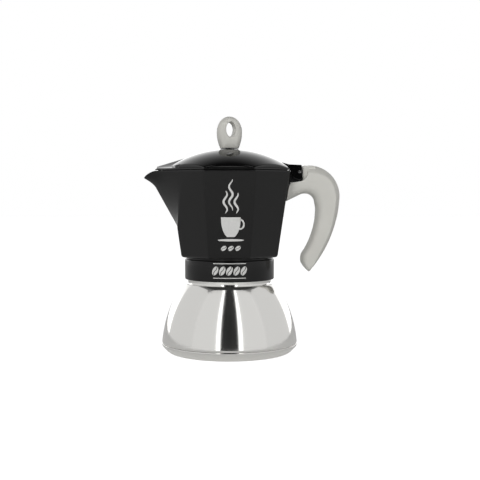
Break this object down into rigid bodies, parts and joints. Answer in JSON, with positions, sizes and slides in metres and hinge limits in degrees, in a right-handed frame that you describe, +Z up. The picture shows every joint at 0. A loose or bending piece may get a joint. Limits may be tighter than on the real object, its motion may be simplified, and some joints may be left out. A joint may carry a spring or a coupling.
{
  "type": "moka pot",
  "caption": "Stove-top coffee maker with a bell-shaped steel boiler, a screw-on octagonal collector with spout, hinged domed lid and C-shaped handle.",
  "frame": {"origin": "centre of the flat base that the pot stands on", "axes": "+Z up along the pot's axis, the spout points to -X, the handle and the lid hinge are on +X, the safety valve faces +Y"},
  "size_m": [0.1521, 0.1077, 0.182],
  "materials": {
    "polished_steel": "polished",
    "base_steel": "satin",
    "valve_brass": "machined",
    "seal_rubber": "matte",
    "pin_steel": "bright",
    "funnel_aluminium": "satin",
    "filter_steel": "satin",
    "gasket_silicone": "matte",
    "cast_aluminium": "satin",
    "black_enamel": "satin",
    "gloss_black": "gloss",
    "soft_grey": "soft touch",
    "core_plastic": "matte"
  },
  "bodies": {
    "boiler": {"boiler_shell": "polished_steel", "induction_base": "base_steel", "valve_body": "valve_brass", "valve_seal": "seal_rubber", "valve_retainer": "valve_brass", "valve_spring": "pin_steel"},
    "valve_plunger": {"valve_plunger": "pin_steel"},
    "funnel": {"funnel": "funnel_aluminium", "funnel_tube": "funnel_aluminium", "funnel_filter": "filter_steel"},
    "gasket": {"gasket": "gasket_silicone"},
    "filter_plate": {"filter_plate": "filter_steel"},
    "collector": {"collector_body": "black_enamel", "coffee_column": "cast_aluminium", "column_cap": "cast_aluminium", "hinge_pin": "pin_steel", "handle_grip": "soft_grey", "handle_core": "core_plastic", "handle_screw": "pin_steel"},
    "lid": {"lid_shell": "gloss_black", "knob": "soft_grey", "knob_seat": "seal_rubber", "knob_washer": "pin_steel", "knob_screw": "pin_steel"}
  },
  "joints": [
    {"name": "collector_lift", "type": "slide", "parent": "boiler", "child": "gasket", "axis": [0, 0, 1], "range_m": [0, 0.15]},
    {"name": "funnel_lift", "type": "slide", "parent": "boiler", "child": "funnel", "axis": [0, 0, 1], "range_m": [0, 0.075]},
    {"name": "thread_rise", "type": "slide", "parent": "gasket", "child": "filter_plate", "axis": [0, 0, 1], "range_m": [0, 0.0076]},
    {"name": "collector_unscrew", "type": "hinge", "parent": "filter_plate", "child": "collector", "pos_m": [0, 0, 0.06], "axis": [0, 0, 1], "range_deg": [0, 900]},
    {"name": "lid_hinge", "type": "hinge", "parent": "collector", "child": "lid", "pos_m": [0.0536, 0, 0.1393], "axis": [0, 1, 0], "range_deg": [0, 95]},
    {"name": "valve_lift", "type": "slide", "parent": "boiler", "child": "valve_plunger", "axis": [0, 0.9232, 0.3842], "range_m": [0, 0.0012], "stiffness_N_per_m": 900, "springref_m": -0.002, "deforming": ["valve_spring"]}
  ],
  "couplings": [
    {"joint": "funnel_lift", "follows": "collector_lift", "ratio": 0.5},
    {"joint": "thread_rise", "follows": "collector_unscrew", "m_per_rad": 0.00047746}
  ]
}
